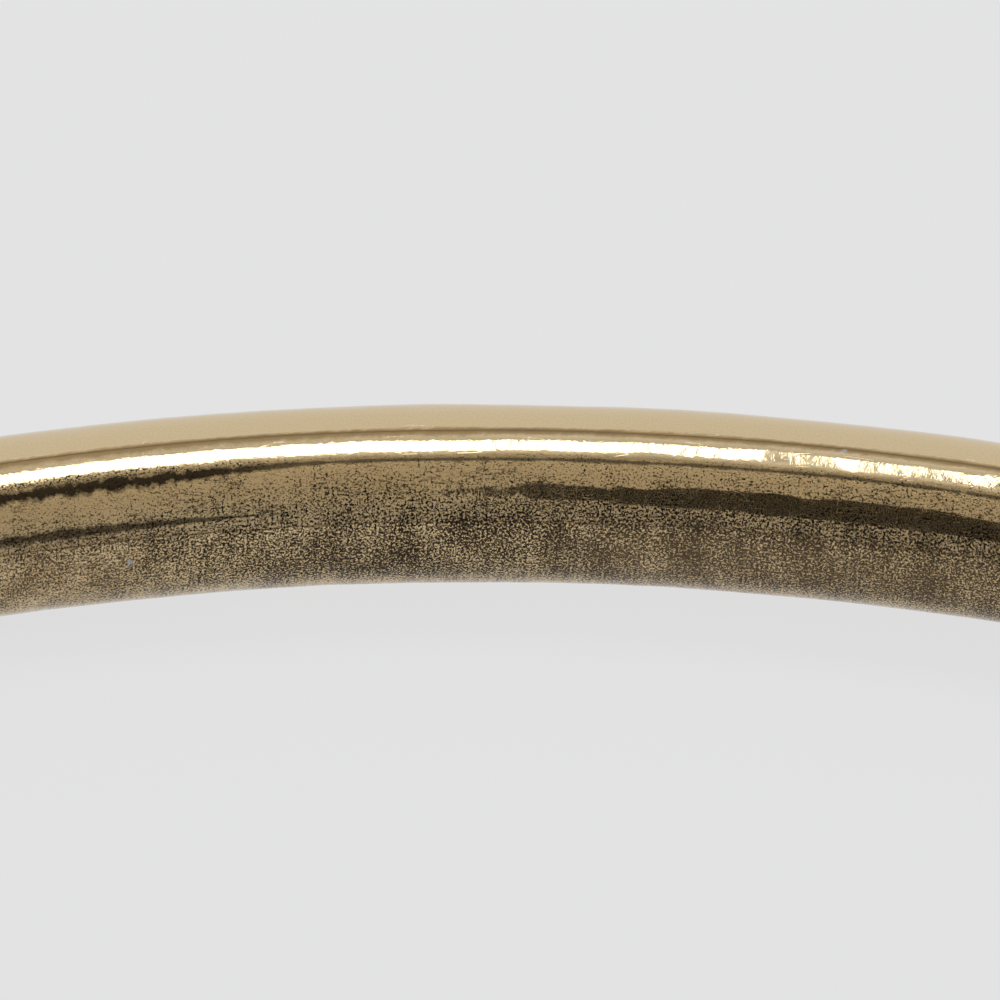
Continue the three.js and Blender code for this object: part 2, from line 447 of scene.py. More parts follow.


# %% [markdown]
# The density of the specks rises from the rim inwards. Toward the hinge, and in the shallow part
# of the best-kept stretch, some are spared. A few also spread over the polished side of the rim,
# and a fine scuff toward the clasp. Toward the hinge those on the polish are twice as many and
# reach further: there they are partly painted shade, which narrows the softbox's highlight along
# the rim. The cracks are added to the specks, since both are the same tarnish.

# %% Specks on a tube
spared_deep, spared_more = 0.23, 0.27  # toward the hinge, and added where it is shallow
thinned_share = 0.22
rim_density, scuff_density = 0.22, 0.16
# Toward the hinge the specks on the polish reach further and are doubled, as painted shade that
# narrows the softbox's highlight there.
painted_shade_reach = 0.007  # toward the hinge, the specks on the polish reach further
tube_patchiness, tube_streaks = 0.24, 0.16
crack_share = 0.85


def tube_specks(nodes, zone, rim, specks_top, specks_low, crackle):
    density = nodes.plus(specks_top, nodes.times(zone.deep, specks_low - specks_top))
    density = nodes.times(density, zone.worn)
    spared = nodes.plus(nodes.times(zone.shallow, spared_more), spared_deep)
    spared = nodes.times(zone.hingeward, spared)
    thinned = nodes.times(nodes.times(zone.kept, zone.shallow), thinned_share)
    for missing in (spared, thinned):
        density = nodes.times(density, nodes.minus(1.0, missing))
    # toward the hinge: more specks on the polish, partly painted shade over the edge of the
    # softbox's highlight
    reach = nodes.plus(nodes.times(zone.hingeward, painted_shade_reach), zone.from_seam)
    rim_specks_and_shade = nodes.step(reach, rim - 0.010, rim - 0.004, 0.0, rim_density)
    rim_specks_and_shade = nodes.times(rim_specks_and_shade, nodes.step(zone.hingeward, 0.0, 1.0, 1.0, 2.0))
    rim_specks_and_shade = nodes.times(rim_specks_and_shade, nodes.minus(1.0, zone.worn))
    scuffed = nodes.step(zone.from_seam, rim - 0.032, rim - 0.012, 0.0, scuff_density)
    scuffed = nodes.times(scuffed, zone.claspward)
    density = nodes.larger(density, nodes.larger(rim_specks_and_shade, scuffed))
    shares = {"Density": density, "Patchiness": tube_patchiness, "Streaks": tube_streaks}
    specks = use_group(nodes, "tarnish_specks", zone.place, **shares)
    speckled = nodes.maths("GREATER_THAN", density, 0.01)
    cracks = use_group(nodes, "crackle", zone.place, Amount=crackle)["Mask"]
    cracks = nodes.times(nodes.times(cracks, zone.worn), crack_share)
    return nodes.larger(nodes.times(specks["Mask"], speckled), cracks), specks["Patches"]


# %% [markdown]
# Four dark lines are drawn: brown solder grime along the seam, a thinner black core in it, a
# painted dark reflection with some grime along the crease at the rim, which moves in and widens
# toward the hinge, and a painted dark reflection further in that runs out before the middle of
# the half ring.

# %% Dirt lines and painted reflections on a tube
seam_middle = 0.0008  # from the seam, in centimetres like all that follow
core_middle, core_width = 0.0010, 0.0024
# The crease line, which holds some grime, and the line further in are painted dark reflections.
# Toward the hinge the crease line moves in, and both widen, as the reflections do.
crease_shift = 0.0075  # how much further from the seam the crease lies at the hinge
crease_widths = (0.0033, 0.0125)  # away from the hinge and at it
inner_reflection_in = 0.068  # from the rim
inner_reflection_widths = (0.0001, 0.0092)
seam_ragged, core_ragged, crease_ragged, inner_reflection_ragged = 1.5, 3.2, 3.0, 2.4
crease_strengths = (0.80, 1.0)
inner_reflection_strength = 0.84


def dirt_and_reflection_line(nodes, zone, measure, middle, width, raggedness):
    """A ragged dark line where the measured distance is close to middle: grime at the seam, a
    painted dark reflection with some grime at the crease, and a painted dark reflection further
    in.
    """
    values = {"Around": nodes.minus(measure, middle), "Width": width, "Raggedness": raggedness}
    return use_group(nodes, "grime_and_reflection_line", zone.place, **values)["Mask"]


def tube_dirt_and_reflections(nodes, zone, rim, seam_widths, film):
    """The grime along the seam, its black core, and the painted dark reflections at the crease
    and further in.
    """
    width = nodes.step(zone.along, 0.2, 0.8, *seam_widths)
    seam = dirt_and_reflection_line(nodes, zone, zone.from_seam, seam_middle, width, seam_ragged)
    seam_core = dirt_and_reflection_line(nodes, zone, zone.from_seam, core_middle, core_width, core_ragged)
    # the crease line: a painted dark reflection with some grime
    middle = nodes.step(zone.hingeward, 0.0, 1.0, rim, rim + crease_shift)
    width = nodes.step(zone.hingeward, 0.0, 1.0, *crease_widths)
    crease = dirt_and_reflection_line(nodes, zone, zone.from_seam, middle, width, crease_ragged)
    crease = nodes.times(crease, nodes.step(zone.hingeward, 0.0, 0.6, *crease_strengths))
    # the line further in: a painted dark reflection
    width = nodes.step(zone.along, 0.62, 1.0, *inner_reflection_widths)
    inner_dark_reflection = dirt_and_reflection_line(nodes, zone, zone.around, rim + inner_reflection_in, width, inner_reflection_ragged)
    crease = nodes.larger(crease, nodes.times(inner_dark_reflection, inner_reflection_strength))
    return seam, seam_core, nodes.times(crease, film)


# %% [markdown]
# The colour is built like paint: bare gold first, then each layer over it by its mask.
# The film comes first, then a fine grain, the grime, the specks, the painted dark reflections at
# the crease and further in, and the dust.
# Deep inside, the tarnish is old and has faded from black to brown.

# %% Colour of a tube
film_least = 0.09
film_deep, film_kept = 0.52, 0.18  # added deep inside, and where gold was kept
film_edge = 0.34
yellow_deep = 0.3  # how much of the worn gold's yellow is left deep inside
faded_kept = 0.35  # how much of the fading shows where gold was kept


def tube_colour(nodes, zone, mask, rim, film):
    amount = nodes.times(zone.deep, nodes.step(zone.kept, 0.0, 1.0, film_deep, film_kept))
    amount = nodes.plus(amount, film_least)
    amount = nodes.times(amount, nodes.step(mask.patches, 0.3, 0.7, 0.4, 1.0))
    edge = nodes.step(zone.from_seam, rim - 0.010, rim - 0.002, 0.0, film_edge)
    edge = nodes.times(edge, nodes.minus(1.0, zone.worn))
    film_share = nodes.times(nodes.plus(nodes.times(amount, zone.worn), edge), film)
    copper_share = nodes.step(nodes.noise(zone.place, 46.0, 4.0, 0.7), 0.42, 0.68)
    stain = nodes.mix(nodes.times(copper_share, zone.worn), olive_film, copper_film)
    yellow = nodes.step(zone.from_seam, rim - 0.016, rim - 0.002)
    yellow = nodes.times(yellow, nodes.step(zone.deep, 0.0, 1.0, 1.0, yellow_deep))
    faded = nodes.step(zone.from_seam, rim + 0.05, rim + 0.12)
    faded = nodes.times(faded, nodes.step(zone.kept, 0.0, 1.0, 1.0, faded_kept))
    colour = nodes.mix(yellow, bare_gold, worn_gold)
    for share, layer in (
        (film_share, stain),
        (nodes.step(mask.grain, 0.40, 0.72, 0.0, 0.16), olive_film),
        (nodes.times(mask.seam, 0.82), solder_brown),
        (nodes.times(mask.seam_core, 0.27), oxide_and_reflection_black),
        (mask.speck, nodes.mix(faded, oxide_and_reflection_black, brown_oxide)),
        # painted dark reflection, with some grime, at the crease, and a painted dark reflection
        # further in
        (nodes.times(mask.crease, 0.96), oxide_and_reflection_black),
        (nodes.times(mask.dust, 0.7), dust_grey),
    ):
        colour = nodes.mix(share, colour, layer)
    return colour


# %% [markdown]
# Gold itself is nearly a mirror. Rubbing marks, grain and grime blur it a little, and
# tarnish, crease and dust blur it much more. The fine height does the same for shape:
# specks and dirt are eaten in, and the sheet has a faint orange peel that is stronger
# where the polish is whole.

# %% Gloss and fine height of a tube
blur_range = (0.04, 0.08)
grain_blur = 0.03
peel_per_cm = 42.0
peel_polished, peel_worn = 1.3, 0.5


def tube_gloss(nodes, zone, mask):
    matte = nodes.larger(nodes.times(mask.speck, 0.5), nodes.larger(mask.dust, mask.crease))
    smeared = nodes.step(nodes.noise(zone.place, 6.0, 3.0), 0.3, 0.7, *blur_range)
    grainy = nodes.step(mask.grain, 0.45, 0.75, 0.0, grain_blur)
    parts = ((mask.marks, 0.12), (mask.seam, 0.30), (zone.worn, -0.02), (matte, 0.38))
    return nodes.total(nodes.plus(smeared, grainy), parts)


def tube_relief(nodes, zone, mask):
    peel = nodes.noise(zone.place, peel_per_cm, 4.0, 0.6)
    peel = nodes.times(peel, nodes.step(zone.worn, 0.0, 1.0, peel_polished, peel_worn))
    parts = ((mask.speck, -0.13), (mask.seam, -0.12), (mask.crease, -0.2), (mask.marks, -0.12))
    return nodes.total(peel, parts)


# %% Tube finish
relief_depth = 0.006 * MM
relief_strength = 0.6
grain_per_cm = 330.0


def tube_finish(name, rim, specks_top, specks_low, film, crackle, seam_widths, dust_amount):
    """rim is how far around the tube, in cm from either seam, the polish reaches."""
    material, nodes, shader = start_material(name)
    zone = tube_zones(nodes, rim)
    speck, patches = tube_specks(nodes, zone, rim, specks_top, specks_low, crackle)
    seam, seam_core, crease = tube_dirt_and_reflections(nodes, zone, rim, seam_widths, film)
    marks = use_group(nodes, "rubbing_marks", zone.place, Fineness=1.0, Width=0.012)
    mask = SimpleNamespace(
        speck=speck,
        patches=patches,
        seam=seam,
        seam_core=seam_core,
        crease=crease,
        marks=marks["Mask"],
        dust=use_group(nodes, "dust", zone.place, Amount=dust_amount)["Mask"],
        grain=nodes.noise(zone.place, grain_per_cm, 2.0, 0.7),
    )
    colour = tube_colour(nodes, zone, mask, rim, film)
    gloss = tube_gloss(nodes, zone, mask)
    height = tube_relief(nodes, zone, mask)
    wire(nodes, shader, colour, mask.dust, gloss, height, relief_strength, relief_depth)
    return material


# %% [markdown]
# ## The half tubes
#
# A half tube is a long curved skin with real thickness. Its section is drawn once, as a
# ring of points around the sheet, and repeated at close steps along the half ring. Each
# point also gets its place on the skin in centimetres, kept as a UV map, which is what
# the finishes above read. At the hinge end the skin stops at the round scoop that the
# knuckles turn in, so each point of the section has its own end angle.

# %% Section of a half tube
along_steps = 900
skin_steps = 44
lining_steps = 10


def curved_side(facing, inset, steps):
    """The curved side of the section from upper to lower flat, as (out, up) pairs."""
    reach = tube_depth / 2 - side_flat / 2 - inset
    climb = tube_height / 2 - inset
    turns = np.linspace(math.pi / 2, -math.pi / 2, steps + 1)
    return np.column_stack(
        [facing * (side_flat / 2 + reach * np.cos(turns)), climb * np.sin(turns)]
    )


def skin_outline(facing):
    """The skin from one seam edge round to the other, with both edges broken."""
    edge = facing * seam_gap / 2 - seam_shift
    top = tube_height / 2
    turns = np.linspace(0, math.pi / 2, 5)
    corner_out = edge + facing * seam_round * (1 - np.cos(turns))
    corner = np.column_stack([corner_out, top - seam_round * (1 - np.sin(turns))])
    side = curved_side(facing, 0.0, skin_steps)
    under = corner[::-1] * (1, -1)
    return np.vstack([corner, side[1:-1] if facing < 0 else side, under])


def lining_outline(facing):
    """The inside of the sheet, from the lower seam edge back round to the upper one."""
    edge = facing * seam_gap / 2 - seam_shift
    under = tube_height / 2 - wall
    side = curved_side(facing, wall, lining_steps)[::-1]
    return np.vstack([[edge, -under], side, [edge, under]])


outline = skin_outline(-1)
skin_width = float(np.hypot(*np.diff(outline, axis=0).T).sum())
print("skin", round(skin_width * 1000, 2), "mm around,", len(outline), "points")

# %% [markdown]
# A bangle that has been worn for years is never quite true. Small knocks leave shallow
# dents, and the sheet keeps a slight ripple from the press. Both are real shape here, not
# shading: each skin point moves in or out by a few thousandths of a millimetre. The dice
# have a fixed seed, so the knocks are the same in every run.

# %% Dents and ripple
dents_per_skin = 1500
dent_sizes = (0.06 * MM, 0.26 * MM)
dent_depths = (0.008, 0.03)  # as a share of the dent's radius
waves_per_skin = 14
wave_lengths = (0.9 * MM, 4.5 * MM)
wave_height = 0.00035  # as a share of the wave's length
dice = np.random.default_rng(27)


def knocks():
    """Where the dents of one skin are: (along, around, radius, depth), in metres."""
    count = dents_per_skin
    half_length = math.pi * ring_radius / 2
    along = dice.uniform(-half_length, half_length, count)
    around = dice.uniform(0.0, skin_width, count)
    radius = dice.uniform(*dent_sizes, count)
    depth = radius * dice.uniform(*dent_depths, count)
    return np.column_stack([along, around, radius, depth])


def dented(along, around, dents):
    """How far in each skin point is pushed. A dent touches only the rows close to it."""
    push = np.zeros((len(along), len(around)))
    for middle, height, radius, depth in dents:
        first, last = np.searchsorted(along, [middle - 3 * radius, middle + 3 * radius])
        rows = along[first:last, None] - middle
        columns = around[None, :] - height
        push[first:last] += depth * np.exp(-(rows**2 + columns**2) / radius**2)
    return push


def ripple(along, around):
    """A slow wave of a few microns over the skin."""
    total = np.zeros((len(along), len(around)))
    for _ in range(waves_per_skin):
        step = dice.uniform(*wave_lengths)
        turn = dice.uniform(-0.5, 0.5)
        phase = dice.uniform(0, 2 * math.pi)
        wave = (along[:, None] * math.cos(turn) + around[None, :] * math.sin(turn)) / step
        total += wave_height * step * np.sin(2 * math.pi * wave + phase)
    return total


# %% [markdown]
# The tube is cut away in a round scoop around the hinge, a hair wider than the knuckles.
# The skin stops there, so its end angle depends on how far from the ring's middle each
# point of the section lies. The very ends are drawn in a little, as a file leaves them.

# %% Where the tube meets the hinge
hinge_pin_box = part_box("hinge_pin")
hinge_x = (hinge_pin_box[0].x + hinge_pin_box[1].x) / 2
knuckle_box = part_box("back_knuckle_middle")
knuckle_radius = (knuckle_box[1].x - knuckle_box[0].x) / 2
scoop_radius = knuckle_radius + 0.04 * MM
seam_fade = 0.12 * MM  # dents fade out this close to a seam
end_share = 0.0004  # the drawn-in row at each end, as a share of the length


def scoop_angle(radius):
    """The angle from the hinge's side at which a circle of this radius meets the scoop."""
    reach = -hinge_x
    turn = (radius**2 + reach**2 - scoop_radius**2) / (2 * radius * reach)
    return np.arccos(np.clip(turn, -1.0, 1.0))


print("scoop", round(scoop_radius / MM, 2), "mm, hinge axis at x", round(hinge_x / MM, 2), "mm")


# %% Build one half tube
def half_tube(name, facing, side):
    skin = skin_outline(facing)
    lining = lining_outline(facing)
    section = np.vstack([skin, lining])
    edges = np.diff(skin, axis=0)
    around = np.concatenate([[0], np.cumsum(np.hypot(edges[:, 0], edges[:, 1]))])
    share = np.linspace(0, 1, along_steps + 1)
    share = np.concatenate([[0, end_share], share[1:-1], [1 - end_share, 1]])
    radius = ring_radius + section[:, 0]
    start = end_gap / 2 / ring_radius
    end = math.pi - np.maximum(start, scoop_angle(radius))
    angle = start + share[:, None] * (end - start)[None, :]
    along = (share - 0.5) * math.pi * ring_radius
    slope = np.gradient(skin, axis=0)
    normal = np.column_stack([slope[:, 1], -slope[:, 0]]) * -facing
    normal /= np.hypot(normal[:, 0], normal[:, 1])[:, None]
    push = dented(along, around, knocks()) + ripple(along, around)
    fade = np.clip(np.minimum(around, around[-1] - around) / seam_fade, 0, 1)
    push = push * fade[None, :]
    push[0] += end_round
    push[-1] += end_round / 2
    out = np.repeat(section[None, :, 0], len(share), axis=0)
    up = np.repeat(section[None, :, 1], len(share), axis=0)
    out[:, : len(skin)] -= push * normal[None, :, 0]
    up[:, : len(skin)] -= push * normal[None, :, 1]
    reach = ring_radius + out
    places = np.stack(
        [reach * np.cos(angle), side * reach * np.sin(angle), middle_z + up], axis=-1
    )
    return tube_mesh(name, places, along, around, len(skin), flip=facing * side > 0)


# %% [markdown]
# The points become faces: four neighbours make one face, and rings at the two ends are
# closed by strips from the skin to the lining. Points of the skin keep their place in
# centimetres in the UV map. The lining is never seen from near, so it shares one line.


# %% Skin of faces over the points
def tube_mesh(name, places, along, around, skin_count, flip):
    """Joins a grid of points, closed around and open along, and caps its two ends."""
    rows, columns = places.shape[:2]
    faces, corners = [], []
    across = np.concatenate([around, np.zeros(columns - skin_count)]) / (10 * MM)
    ahead = along / (10 * MM)
    for i in range(rows - 1):
        for j in range(columns):
            k = (j + 1) % columns
            quad = [(i, j), (i + 1, j), (i + 1, k), (i, k)]
            faces.append(quad[::-1] if flip else quad)
    # an end cap is a strip between the skin and the lining, which run in opposite ways
    lining_count = columns - skin_count
    for i, turned in ((0, flip), (rows - 1, not flip)):
        for face in cap_strip(skin_count, lining_count):
            ring = [(i, j) for j in face]
            faces.append(ring[::-1] if turned else ring)
    mesh = bpy.data.meshes.new(name)
    vertices = places.reshape(-1, 3)
    mesh.from_pydata(vertices.tolist(), [], [[i * columns + j for i, j in f] for f in faces])
    layer = mesh.uv_layers.new(name="skin")
    for face in faces:
        wraps = any(j >= skin_count for _, j in face)
        for i, j in face:
            corners.append((ahead[i], across[j] if not wraps or j < skin_count else 0.0))
    layer.data.foreach_set("uv", np.array(corners, dtype=np.float32).ravel())
    mesh.validate()
    return mesh


def cap_strip(skin_count, lining_count):
    """Faces over a cut end: each skin point is joined to the lining point opposite it."""
    columns = skin_count + lining_count
    faces = []
    opposite = [
        columns - 1 - round(j * (lining_count - 1) / (skin_count - 1)) for j in range(skin_count)
    ]
    for j in range(skin_count - 1):
        ring = [j, j + 1, opposite[j + 1], opposite[j]]
        faces.append(ring if ring[2] != ring[3] else ring[:3])
    return faces


# %% [markdown]
# The outer shells are polished right round, so their rim lies past the middle of the
# skin and they have no specks. The wrist side has its rim half a millimetre in.

# %% Place the four shells
polished_gold = tube_finish(
    "polished_gold",
    rim=0.5,
    specks_top=0.0,
    specks_low=0.0,
    film=0.0,
    crackle=0.0,
    seam_widths=(0.0062, 0.0062),
    dust_amount=0.05,
)
tarnished_gold = tube_finish(
    "tarnished_gold",
    rim=0.050,
    specks_top=0.28,
    specks_low=0.66,
    film=1.0,
    crackle=0.62,
    seam_widths=(0.0095, 0.0150),
    dust_amount=0.26,
)
for name, facing, side in (
    ("back_outer_shell", 1, 1),
    ("back_inner_shell", -1, 1),
    ("front_outer_shell", 1, -1),
    ("front_inner_shell", -1, -1),
):
    mesh = half_tube(name, facing, side)
    place_piece(name, mesh, polished_gold if facing > 0 else tarnished_gold)
    print(name, len(mesh.polygons), "faces")

# %% [markdown]
# The thumb tab of the clasp comes out through a notch in the end of the front outer
# shell. The notch is cut with a Boolean, and the cutter's inner corners are rounded, as
# a small round file leaves them.


# %% Cut the tab notch
notch_end = -0.95 * MM
notch_open = 0.5 * MM  # the cutter reaches this far past the end of the shell
notch_half = 0.33 * MM
notch_corner = 0.12 * MM
corner_steps = 6


def rounded_slot(length_from, length_to, half_width, corner):
    """Outline in (y, z) of a slot whose far corners are rounded."""
    middle = length_from + corner
    points = [(length_to, half_width), (length_to, -half_width)]
    for start, z in ((-math.pi / 2, -half_width + corner), (math.pi, half_width - corner)):
        for i in range(corner_steps + 1):
            turn = start - i * math.pi / 2 / corner_steps
            points.append((middle + corner * math.cos(turn), z + corner * math.sin(turn)))
    return points


def finished(bm, name):
    """The mesh of a bmesh, which is then freed."""
    mesh = bpy.data.meshes.new(name)
    bm.to_mesh(mesh)
    bm.free()
    return mesh


def prism(outline, x_low, x_high):
    """A closed block with this (y, z) outline, from x_low to x_high."""
    bm = bmesh.new()
    low = [bm.verts.new((x_low, y, z)) for y, z in outline]
    high = [bm.verts.new((x_high, y, z)) for y, z in outline]
    bm.faces.new(low)
    bm.faces.new(high[::-1])
    for i in range(len(outline)):
        k = (i + 1) % len(outline)
        bm.faces.new((low[k], low[i], high[i], high[k]))
    bmesh.ops.recalc_face_normals(bm, faces=bm.faces)
    return finished(bm, "prism")


def cut(piece, cutter_mesh):
    cutter = new_object("cutter", cutter_mesh)
    step = piece.modifiers.new("notch", "BOOLEAN")
    step.operation = "DIFFERENCE"
    step.solver = "EXACT"
    step.object = cutter
    bpy.context.view_layer.update()
    shaped = piece.evaluated_get(bpy.context.evaluated_depsgraph_get())
    mesh = bpy.data.meshes.new_from_object(shaped)
    piece.modifiers.clear()
    piece.data = mesh
    bpy.data.objects.remove(cutter)


notch = rounded_slot(notch_end, notch_open, notch_half, notch_corner)
notch = [(y, z + middle_z) for y, z in notch]
front_outer = bpy.data.objects["front_outer_shell_fine"]
cut(front_outer, prism(notch, inner_radius + tube_depth / 2, outer_radius + 1 * MM))
print("front_outer_shell", len(front_outer.data.polygons), "faces after the notch")

# %% [markdown]
# ## Finish of the fittings
#
# The plugs, knuckles, clasp plate and thumb tab are solid pieces of the same pale gold
# metal. They were filed and polished by hand, so they carry fine file marks, and they
# rub on each other, so the tarnish on them is thin. Their material uses the same groups
# as the tube, placed by the object's own coordinates in centimetres.

# %% Fittings' finish
spring_metal = (0.62, 0.50, 0.30)
pin_grey = (0.50, 0.47, 0.42)
pin_stain = (0.28, 0.24, 0.18)
filed_depth = 0.005 * MM
filed_strength = 0.5


def solid_finish(name, metal, tarnish, density, blur, grain):
    """grain is how strongly the file marks show, tarnish the colour of the patches of thin film.
    """
    material, nodes, shader = start_material(name)
    place = nodes.add("ShaderNodeTexCoord").outputs["Object"]
    in_cm = {0: place, 1: (100, 100, 100)}
    place = nodes.add("ShaderNodeVectorMath", in_cm, operation="MULTIPLY").outputs[0]
    shares = {"Density": density, "Patchiness": 0.9, "Streaks": 0.3}
    specks = use_group(nodes, "tarnish_specks", place, **shares)
    speck = specks["Mask"]
    marks = use_group(nodes, "rubbing_marks", place, Fineness=1.3, Width=0.02)["Mask"]
    dust = use_group(nodes, "dust", place, Amount=0.01)["Mask"]
    film = nodes.step(specks["Patches"], 0.40, 0.66, 0.0, 0.55)
    colour = nodes.mix(speck, nodes.mix(film, metal, tarnish), oxide_and_reflection_black)
    colour = nodes.mix(nodes.times(dust, 0.6), colour, dust_grey)
    gloss = nodes.step(nodes.noise(place, 9.0, 3.0), 0.3, 0.7, *blur)
    gloss = nodes.total(gloss, ((marks, 0.1), (speck, 0.3)))
    filed = nodes.noise(nodes.stretched(place, 12.0, 240.0, 0.2), 1.0, 2.0)
    height = nodes.total(0.0, ((filed, grain), (speck, -0.4), (marks, -0.3)))
    wire(nodes, shader, colour, dust, gloss, height, filed_strength, filed_depth)
    return material


fitting_gold = solid_finish("fitting_gold", bare_gold, olive_film, 0.10, (0.14, 0.24), 0.5)
spring_gold = solid_finish("spring_gold", spring_metal, solder_brown, 0.06, (0.2, 0.3), 0.9)
pin_metal = solid_finish("pin_metal", pin_grey, pin_stain, 0.05, (0.2, 0.32), 0.3)
print("three finishes for the fittings")

# %% [markdown]
# ## The barrel hinge
#
# A knuckle is a short turned tube with broken edges, and the pin is a wire whose ends
# are hammered into low domes so that it can't slide out. Both are turned here: a profile
# of (distance from the axis, height) pairs goes round the hinge's axis.

# %% Turning helpers
turned_sides = 96
edge_steps = 6
on_axis = 1e-7  # a profile point closer to the axis than this is a single point


def rounded_profile(points, roundings):
    """Replaces each corner of a closed profile by a small arc."""
    made = []
    count = len(points)
    for i, (point, size) in enumerate(zip(points, roundings)):
        here = Vector(point)
        before = (Vector(points[i - 1]) - here).normalized()
        after = (Vector(points[(i + 1) % count]) - here).normalized()
        for k in range(edge_steps + 1):
            turn = k / edge_steps * math.pi / 2
            back, on = size * (1 - math.sin(turn)), size * (1 - math.cos(turn))
            made.append(tuple(here + before * back + after * on))
    return made


def turned_piece(name, profile, closed):
    """A profile turned round the hinge's axis. An open profile starts and ends on the axis."""
    turns = np.linspace(0, 2 * math.pi, turned_sides, endpoint=False)
    circle = [(math.cos(t), math.sin(t)) for t in turns]
    bm = bmesh.new()
    rings = []
    for radius, height in profile:
        spots = circle if radius > on_axis else [(0, 0)]
        rings.append([bm.verts.new((hinge_x + radius * x, radius * y, height)) for x, y in spots])
    pairs = list(zip(rings, rings[1:])) + ([(rings[-1], rings[0])] if closed else [])
    for a, b in pairs:
        for i in range(turned_sides):
            k = (i + 1) % turned_sides
            corners = [a[i % len(a)], a[k % len(a)], b[k % len(b)], b[i % len(b)]]
            corners = list(dict.fromkeys(corners))
            bm.faces.new(corners)
    bmesh.ops.recalc_face_normals(bm, faces=bm.faces)
    return finished(bm, name)


# %% Turn the knuckles
bore_edge = 0.03 * MM
rim_edge = 0.11 * MM
pin_radius = (hinge_pin_box[1].x - hinge_pin_box[0].x) / 2
bore_radius = pin_radius + 0.02 * MM
for name in ("back_knuckle_middle", "front_knuckle_lower", "front_knuckle_upper"):
    low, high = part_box(name)
    corners = [(bore_radius, low.z), (knuckle_radius, low.z)]
    corners += [(knuckle_radius, high.z), (bore_radius, high.z)]
    profile = rounded_profile(corners, [bore_edge, rim_edge, rim_edge, bore_edge])
    place_piece(name, turned_piece(name, profile, closed=True), fitting_gold)
    print(name, round((high.z - low.z) * 1000, 2), "mm long")

# %% Turn the pin
dome = 0.09 * MM
dome_steps = 9
pin_low, pin_high = hinge_pin_box[0].z, hinge_pin_box[1].z
head = [
    (pin_radius * math.sin(t), dome * (1 - math.cos(t)))
    for t in np.linspace(0, math.pi / 2, dome_steps)
]
pin_profile = [(r, pin_low + h) for r, h in head]
pin_profile += [(r, pin_high - h) for r, h in reversed(head)]
place_piece("hinge_pin", turned_piece("hinge_pin", pin_profile, closed=False), pin_metal)
print("hinge_pin", round((pin_high - pin_low) * 1000, 2), "mm long")

# %% [markdown]
# ## Plugs, mouth plate and leaves
#
# These are filed from flat stock, and their CAD solids already have the right outline.
# What a working solid lacks is the broken edge that catches the light. So each one is
# copied, its faces are merged back from triangles, and every sharp edge is bevelled. The
# copy is made in millimetres, since Blender's mesh tools are unsure of very small sizes.


# %% Soften a solid's edges
flat_within = math.radians(1.0)  # faces this close to flat are merged
sharp_from = math.radians(30)  # edges sharper than this are bevelled
crisp_from = math.radians(35)  # edges sharper than this stay crisp in the shading


def softened(node, width):
    """A copy of a CAD solid with rounded edges. width is in millimetres."""
    bm = bmesh.new()
    bm.from_mesh(frame["nodes"][node].data)
    bmesh.ops.scale(bm, vec=(1000, 1000, 1000), verts=bm.verts)
    bmesh.ops.remove_doubles(bm, verts=bm.verts, dist=1e-4)
    bmesh.ops.dissolve_limit(bm, angle_limit=flat_within, verts=bm.verts, edges=bm.edges)
    sharp = [e for e in bm.edges if e.is_manifold and e.calc_face_angle() > sharp_from]
    arc = {"offset": width, "offset_type": "OFFSET", "segments": 3, "profile": 0.5}
    bmesh.ops.bevel(bm, geom=sharp, affect="EDGES", clamp_overlap=True, **arc)
    bmesh.ops.triangulate(bm, faces=[f for f in bm.faces if len(f.verts) > 4])
    bmesh.ops.scale(bm, vec=(MM, MM, MM), verts=bm.verts)
    return finished(bm, node)


# %% Place the plugs, the plate, the leaves and the tab
for name, material, width in (
    ("back_hinge_plug", fitting_gold, 0.03),
    ("front_hinge_plug", fitting_gold, 0.03),
    ("back_clasp_plug", fitting_gold, 0.04),
    ("front_mouth_plate", fitting_gold, 0.03),
    ("tongue_base_leaf", spring_gold, 0.03),
    ("tongue_spring_leaf", spring_gold, 0.03),
    ("thumb_tab", fitting_gold, 0.07),
):
    piece = place_piece(name, softened(name, width), material)
    piece.data.set_sharp_from_angle(angle=crisp_from)
    print(name, len(piece.data.polygons), "faces")

# %% [markdown]
# ## Floor
#
# The bangle lies on plain pale paper. Lit paper alone would take its brightness from the
# same lights that the metal mirrors, and one can't be set without the other. So most of
# the paper's brightness is a soft emission, and the little that is left to the lights
# shows the shadow. The floor is far larger than the ring, so that no edge shows in it.

# %% Floor
floor_half = 6.0
floor_gap = 0.02 * MM  # the knocked skin may reach a hair below the CAD's lowest point
paper_shade = (0.08, 0.08, 0.08, 1)
paper_glow = (0.77, 0.77, 0.775, 1)
paper_glow_strength = 0.915


def flat_sheet(name, corners, paint, colour, roughness):
    """A flat sheet with these (x, y) corners, and the inputs of its shader."""
    mesh = bpy.data.meshes.new(name)
    mesh.from_pydata([(x, y, 0) for x, y in corners], [], [range(len(corners))])
    material, _, shader = start_material(paint)
    shader["Base Color"].default_value = colour
    shader["Roughness"].default_value = roughness
    mesh.materials.append(material)
    return new_object(name, mesh), shader


def make_floor():
    far, near = floor_half, -floor_half
    corners = [(near, near), (far, near), (far, far), (near, far)]
    floor, shader = flat_sheet("floor", corners, "floor_paper", paper_shade, 1.0)
    floor.location.z = -floor_gap
    shader["Specular IOR Level"].default_value = 0.0
    shader["Emission Color"].default_value = paper_glow
    shader["Emission Strength"].default_value = paper_glow_strength


make_floor()
print("floor of pale paper")

